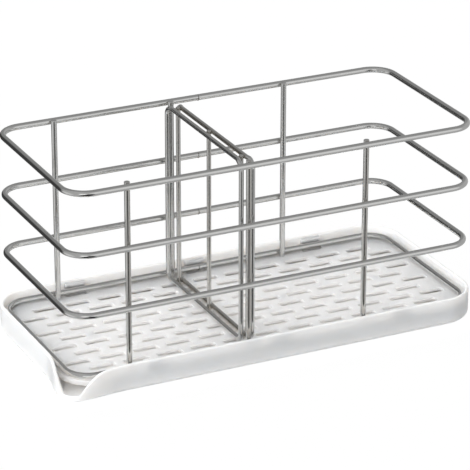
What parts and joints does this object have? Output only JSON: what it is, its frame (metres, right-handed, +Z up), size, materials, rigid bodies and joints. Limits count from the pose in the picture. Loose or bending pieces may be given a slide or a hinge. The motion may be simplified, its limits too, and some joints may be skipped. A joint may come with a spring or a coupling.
{
  "type": "sink sponge holder",
  "caption": "Open wire sponge holder with a lift-out wire divider, clipped to a slotted drip plate that stands in a shallow white tray with a corner pouring spout.",
  "frame": {"origin": "middle of the tray's underside, on the surface that the holder stands on; the spout reaches past the tray's outline at the front left corner, so this is not the middle of the whole box", "axes": "+X along the long side to the right, +Y to the back, +Z up"},
  "size_m": [0.2645, 0.1255, 0.1216],
  "materials": {
    "tray_plastic": "smooth white injection-moulded plastic with a soft gloss",
    "plate_plastic": "smooth warm white injection-moulded plastic",
    "basket_steel": "bright polished stainless steel wire with small resistance welds",
    "divider_steel": "bright polished stainless steel wire, thinner than the basket's"
  },
  "bodies": {
    "tray": {"tray": "tray_plastic"},
    "basket": {"drip_plate": "plate_plastic", "basket_ring_1": "basket_steel", "basket_ring_2": "basket_steel", "basket_ring_3": "basket_steel", "basket_ring_4": "basket_steel", "post_front_left": "basket_steel", "post_front_middle": "basket_steel", "post_front_right": "basket_steel", "post_back_left": "basket_steel", "post_back_middle": "basket_steel", "post_back_right": "basket_steel"},
    "divider": {"divider_loop_left": "divider_steel", "divider_loop_right": "divider_steel", "divider_rod_front": "divider_steel", "divider_rod_middle": "divider_steel", "divider_rod_back": "divider_steel"}
  },
  "joints": [
    {"name": "basket_lift", "type": "slide", "parent": "tray", "child": "basket", "axis": [0, 0, 1], "range_m": [0, 0.03]},
    {"name": "divider_lift", "type": "slide", "parent": "basket", "child": "divider", "axis": [0, 0, 1], "range_m": [0, 0.12]}
  ]
}
